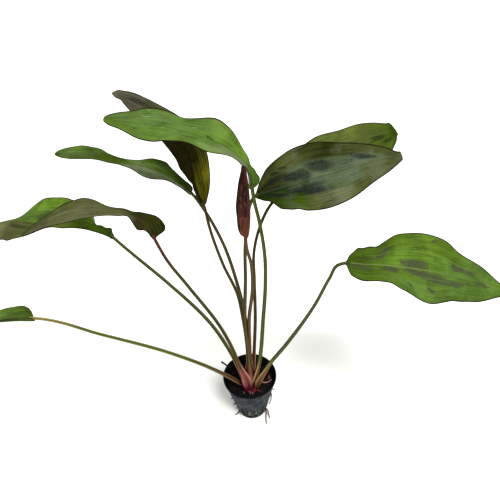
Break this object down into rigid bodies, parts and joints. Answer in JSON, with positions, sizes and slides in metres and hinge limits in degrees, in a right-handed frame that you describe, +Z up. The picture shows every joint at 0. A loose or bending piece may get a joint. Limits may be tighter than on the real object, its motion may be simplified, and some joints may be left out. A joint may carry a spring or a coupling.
{
  "type": "echinodorus plant in a net pot",
  "caption": "Aquarium sword plant with long arching stalks and broad lance-shaped leaves, rooted in a small black slotted net pot that stands on a table.",
  "frame": {"origin": "middle of the pot's flat foot, on the surface that it stands on", "axes": "+Z up along the pot's axis; -Y is the front, the side that the picture shows; +X to the right of that view, the way the lowest right leaf points"},
  "size_m": [0.4357, 0.1343, 0.3362],
  "materials": {
    "pot": "satin",
    "medium": "matte",
    "crown": "satin",
    "stem": "satin",
    "leaf_green": "satin",
    "leaf_olive": "satin",
    "leaf_maroon": "satin",
    "root": "matte"
  },
  "bodies": {
    "root": {"net_pot": "pot", "growing_medium": "medium", "crown": "crown", "stem_low_left": "stem", "stem_left_back": "stem", "stem_left_arched": "stem", "stem_upper_left": "stem", "stem_dark_back": "stem", "stem_top": "stem", "stem_young": "stem", "stem_right_front": "stem", "stem_right_back": "stem", "stem_right_low": "stem", "leaf_low_left": "leaf_green", "leaf_left_back": "leaf_green", "leaf_left_arched": "leaf_olive", "leaf_upper_left": "leaf_green", "leaf_dark_back": "leaf_maroon", "leaf_top": "leaf_green", "leaf_young": "leaf_maroon", "leaf_right_front": "leaf_olive", "leaf_right_back": "leaf_green", "leaf_right_low": "leaf_green", "root_right_long": "root", "root_right_short": "root", "root_left": "root"}
  },
  "joints": []
}
